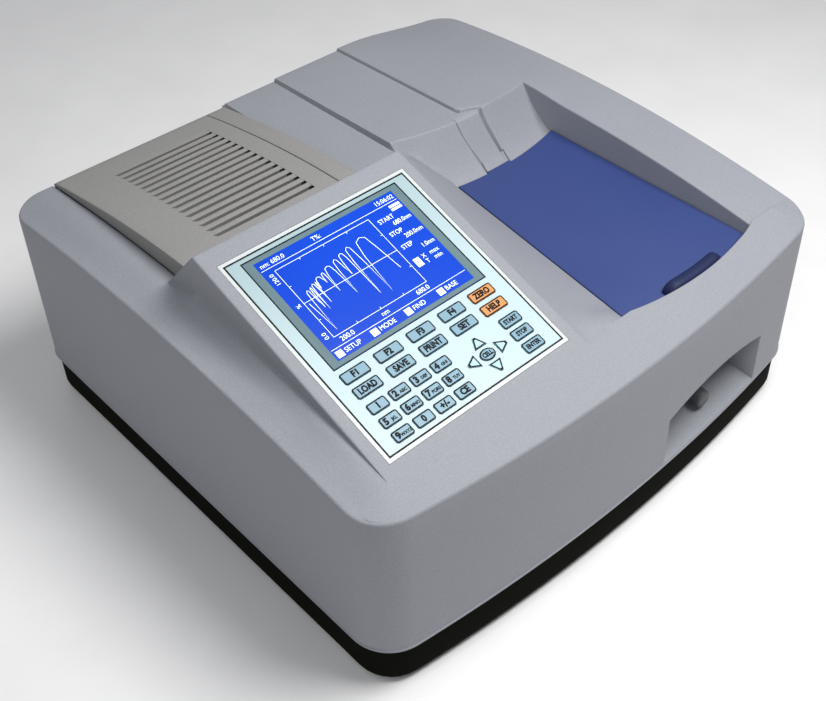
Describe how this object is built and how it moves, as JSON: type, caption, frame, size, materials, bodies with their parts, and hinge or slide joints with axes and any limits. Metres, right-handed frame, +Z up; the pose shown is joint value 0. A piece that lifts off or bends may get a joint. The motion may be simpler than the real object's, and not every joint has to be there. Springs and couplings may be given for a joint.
{
  "type": "spectrophotometer",
  "caption": "Benchtop laboratory spectrophotometer with sloping display and keypad, louvred lamp cover, hinged sample lid and sliding cell carrier.",
  "frame": {"origin": "middle of the bounding box, on the standing surface under the feet", "axes": "+X to the user's right, +Y to the back, +Z up; the user stands at -Y"},
  "size_m": [0.442, 0.422, 0.2264],
  "materials": {
    "casing": "fine moulded texture, satin",
    "lamp_cover": "fine moulded texture, warm grey",
    "pan": "near-black moulded tray",
    "lid": "smooth satin blue",
    "handle": "navy, smooth",
    "panel": "printed polyester overlay, near white with a black line",
    "display": "lit blue liquid crystal screen behind a clear window",
    "key_blue": "light blue key face with dark outline",
    "key_orange": "orange key face with dark outline",
    "rubber": "black rubber",
    "steel": "brushed",
    "alloy": "cast and machined",
    "black_plastic": "matt black",
    "mirror": "front silvered",
    "lamp_glass": "clear quartz",
    "board": "green solder mask"
  },
  "bodies": {
    "root": {"top_casing": "casing", "lamp_cover": "lamp_cover", "lamp_cover_trim": "lamp_cover", "base_pan": "pan", "keypad_panel": "panel", "display": "display", "lid_hinge_pin": "steel", "sample_tub": "black_plastic", "optical_bench": "alloy", "monochromator_case": "black_plastic", "deuterium_lamp": "lamp_glass", "tungsten_lamp": "lamp_glass", "detector": "black_plastic", "power_supply": "steel", "fan_frame": "black_plastic", "main_board": "board", "mains_inlet": "black_plastic", "foot_1": "rubber", "foot_2": "rubber", "foot_3": "rubber", "foot_4": "rubber"},
    "lid": {"sample_lid": "lid", "lid_handle": "handle"},
    "carrier": {"cell_carrier": "alloy", "pull_rod": "black_plastic"},
    "switch": {"power_switch": "rubber"},
    "grating_mount": {"grating": "mirror"},
    "mirror_mount": {"source_mirror": "mirror"},
    "wheel": {"filter_wheel": "black_plastic"},
    "fan": {"fan_rotor": "black_plastic"},
    "key_f1": {"key_f1": "key_blue"},
    "key_f2": {"key_f2": "key_blue"},
    "key_f3": {"key_f3": "key_blue"},
    "key_f4": {"key_f4": "key_blue"},
    "key_load": {"key_load": "key_blue"},
    "key_save": {"key_save": "key_blue"},
    "key_print": {"key_print": "key_blue"},
    "key_set_wavelength": {"key_set_wavelength": "key_blue"},
    "key_zero": {"key_zero": "key_orange"},
    "key_help": {"key_help": "key_orange"},
    "key_start": {"key_start": "key_blue"},
    "key_stop": {"key_stop": "key_blue"},
    "key_enter": {"key_enter": "key_blue"},
    "key_0": {"key_0": "key_blue"},
    "key_1": {"key_1": "key_blue"},
    "key_2": {"key_2": "key_blue"},
    "key_3": {"key_3": "key_blue"},
    "key_4": {"key_4": "key_blue"},
    "key_5": {"key_5": "key_blue"},
    "key_6": {"key_6": "key_blue"},
    "key_7": {"key_7": "key_blue"},
    "key_8": {"key_8": "key_blue"},
    "key_9": {"key_9": "key_blue"},
    "key_sign": {"key_sign": "key_blue"},
    "key_ce": {"key_ce": "key_blue"},
    "key_up": {"key_up": "key_blue"},
    "key_down": {"key_down": "key_blue"},
    "key_left": {"key_left": "key_blue"},
    "key_right": {"key_right": "key_blue"},
    "key_cell": {"key_cell": "key_blue"}
  },
  "joints": [
    {"name": "lid_hinge", "type": "hinge", "parent": "root", "child": "lid", "pos_m": [0.1025, 0.033, 0.15], "axis": [-1, 0, 0], "range_deg": [0, 75]},
    {"name": "cell_slide", "type": "slide", "parent": "root", "child": "carrier", "axis": [0, -1, 0], "range_m": [0, 0.06]},
    {"name": "power_rocker", "type": "hinge", "parent": "root", "child": "switch", "pos_m": [0.15, 0.203, 0.102], "axis": [-1, 0, 0], "range_deg": [0, 20]},
    {"name": "grating_turn", "type": "hinge", "parent": "root", "child": "grating_mount", "pos_m": [-0.01, -0.04, 0.03], "axis": [0, 0, 1], "range_deg": [-30, 30]},
    {"name": "mirror_swing", "type": "hinge", "parent": "root", "child": "mirror_mount", "pos_m": [-0.06, 0.105, 0.03], "axis": [0, 0, 1], "range_deg": [0, 60]},
    {"name": "filter_turn", "type": "hinge", "parent": "root", "child": "wheel", "pos_m": [-0.03, 0.054, 0.086], "axis": [0, 1, 0], "continuous": true},
    {"name": "fan_spin", "type": "hinge", "parent": "root", "child": "fan", "pos_m": [-0.12, 0.195, 0.1], "axis": [0, 1, 0], "continuous": true},
    {"name": "press_f1", "type": "slide", "parent": "root", "child": "key_f1", "axis": [0, 0.3189, -0.9478], "range_m": [0, 0.0004], "stiffness_N_per_m": 300, "springref_m": -0.0006},
    {"name": "press_f2", "type": "slide", "parent": "root", "child": "key_f2", "axis": [0, 0.3189, -0.9478], "range_m": [0, 0.0004], "stiffness_N_per_m": 300, "springref_m": -0.0006},
    {"name": "press_f3", "type": "slide", "parent": "root", "child": "key_f3", "axis": [0, 0.3189, -0.9478], "range_m": [0, 0.0004], "stiffness_N_per_m": 300, "springref_m": -0.0006},
    {"name": "press_f4", "type": "slide", "parent": "root", "child": "key_f4", "axis": [0, 0.3189, -0.9478], "range_m": [0, 0.0004], "stiffness_N_per_m": 300, "springref_m": -0.0006},
    {"name": "press_load", "type": "slide", "parent": "root", "child": "key_load", "axis": [0, 0.3189, -0.9478], "range_m": [0, 0.0004], "stiffness_N_per_m": 300, "springref_m": -0.0006},
    {"name": "press_save", "type": "slide", "parent": "root", "child": "key_save", "axis": [0, 0.3189, -0.9478], "range_m": [0, 0.0004], "stiffness_N_per_m": 300, "springref_m": -0.0006},
    {"name": "press_print", "type": "slide", "parent": "root", "child": "key_print", "axis": [0, 0.3189, -0.9478], "range_m": [0, 0.0004], "stiffness_N_per_m": 300, "springref_m": -0.0006},
    {"name": "press_set_wavelength", "type": "slide", "parent": "root", "child": "key_set_wavelength", "axis": [0, 0.3189, -0.9478], "range_m": [0, 0.0004], "stiffness_N_per_m": 300, "springref_m": -0.0006},
    {"name": "press_zero", "type": "slide", "parent": "root", "child": "key_zero", "axis": [0, 0.3189, -0.9478], "range_m": [0, 0.0004], "stiffness_N_per_m": 300, "springref_m": -0.0006},
    {"name": "press_help", "type": "slide", "parent": "root", "child": "key_help", "axis": [0, 0.3189, -0.9478], "range_m": [0, 0.0004], "stiffness_N_per_m": 300, "springref_m": -0.0006},
    {"name": "press_start", "type": "slide", "parent": "root", "child": "key_start", "axis": [0, 0.3189, -0.9478], "range_m": [0, 0.0004], "stiffness_N_per_m": 300, "springref_m": -0.0006},
    {"name": "press_stop", "type": "slide", "parent": "root", "child": "key_stop", "axis": [0, 0.3189, -0.9478], "range_m": [0, 0.0004], "stiffness_N_per_m": 300, "springref_m": -0.0006},
    {"name": "press_enter", "type": "slide", "parent": "root", "child": "key_enter", "axis": [0, 0.3189, -0.9478], "range_m": [0, 0.0004], "stiffness_N_per_m": 300, "springref_m": -0.0006},
    {"name": "press_0", "type": "slide", "parent": "root", "child": "key_0", "axis": [0, 0.3189, -0.9478], "range_m": [0, 0.0004], "stiffness_N_per_m": 300, "springref_m": -0.0006},
    {"name": "press_1", "type": "slide", "parent": "root", "child": "key_1", "axis": [0, 0.3189, -0.9478], "range_m": [0, 0.0004], "stiffness_N_per_m": 300, "springref_m": -0.0006},
    {"name": "press_2", "type": "slide", "parent": "root", "child": "key_2", "axis": [0, 0.3189, -0.9478], "range_m": [0, 0.0004], "stiffness_N_per_m": 300, "springref_m": -0.0006},
    {"name": "press_3", "type": "slide", "parent": "root", "child": "key_3", "axis": [0, 0.3189, -0.9478], "range_m": [0, 0.0004], "stiffness_N_per_m": 300, "springref_m": -0.0006},
    {"name": "press_4", "type": "slide", "parent": "root", "child": "key_4", "axis": [0, 0.3189, -0.9478], "range_m": [0, 0.0004], "stiffness_N_per_m": 300, "springref_m": -0.0006},
    {"name": "press_5", "type": "slide", "parent": "root", "child": "key_5", "axis": [0, 0.3189, -0.9478], "range_m": [0, 0.0004], "stiffness_N_per_m": 300, "springref_m": -0.0006},
    {"name": "press_6", "type": "slide", "parent": "root", "child": "key_6", "axis": [0, 0.3189, -0.9478], "range_m": [0, 0.0004], "stiffness_N_per_m": 300, "springref_m": -0.0006},
    {"name": "press_7", "type": "slide", "parent": "root", "child": "key_7", "axis": [0, 0.3189, -0.9478], "range_m": [0, 0.0004], "stiffness_N_per_m": 300, "springref_m": -0.0006},
    {"name": "press_8", "type": "slide", "parent": "root", "child": "key_8", "axis": [0, 0.3189, -0.9478], "range_m": [0, 0.0004], "stiffness_N_per_m": 300, "springref_m": -0.0006},
    {"name": "press_9", "type": "slide", "parent": "root", "child": "key_9", "axis": [0, 0.3189, -0.9478], "range_m": [0, 0.0004], "stiffness_N_per_m": 300, "springref_m": -0.0006},
    {"name": "press_sign", "type": "slide", "parent": "root", "child": "key_sign", "axis": [0, 0.3189, -0.9478], "range_m": [0, 0.0004], "stiffness_N_per_m": 300, "springref_m": -0.0006},
    {"name": "press_ce", "type": "slide", "parent": "root", "child": "key_ce", "axis": [0, 0.3189, -0.9478], "range_m": [0, 0.0004], "stiffness_N_per_m": 300, "springref_m": -0.0006},
    {"name": "press_up", "type": "slide", "parent": "root", "child": "key_up", "axis": [0, 0.3189, -0.9478], "range_m": [0, 0.0004], "stiffness_N_per_m": 300, "springref_m": -0.0006},
    {"name": "press_down", "type": "slide", "parent": "root", "child": "key_down", "axis": [0, 0.3189, -0.9478], "range_m": [0, 0.0004], "stiffness_N_per_m": 300, "springref_m": -0.0006},
    {"name": "press_left", "type": "slide", "parent": "root", "child": "key_left", "axis": [0, 0.3189, -0.9478], "range_m": [0, 0.0004], "stiffness_N_per_m": 300, "springref_m": -0.0006},
    {"name": "press_right", "type": "slide", "parent": "root", "child": "key_right", "axis": [0, 0.3189, -0.9478], "range_m": [0, 0.0004], "stiffness_N_per_m": 300, "springref_m": -0.0006},
    {"name": "press_cell", "type": "slide", "parent": "root", "child": "key_cell", "axis": [0, 0.3189, -0.9478], "range_m": [0, 0.0004], "stiffness_N_per_m": 300, "springref_m": -0.0006}
  ]
}
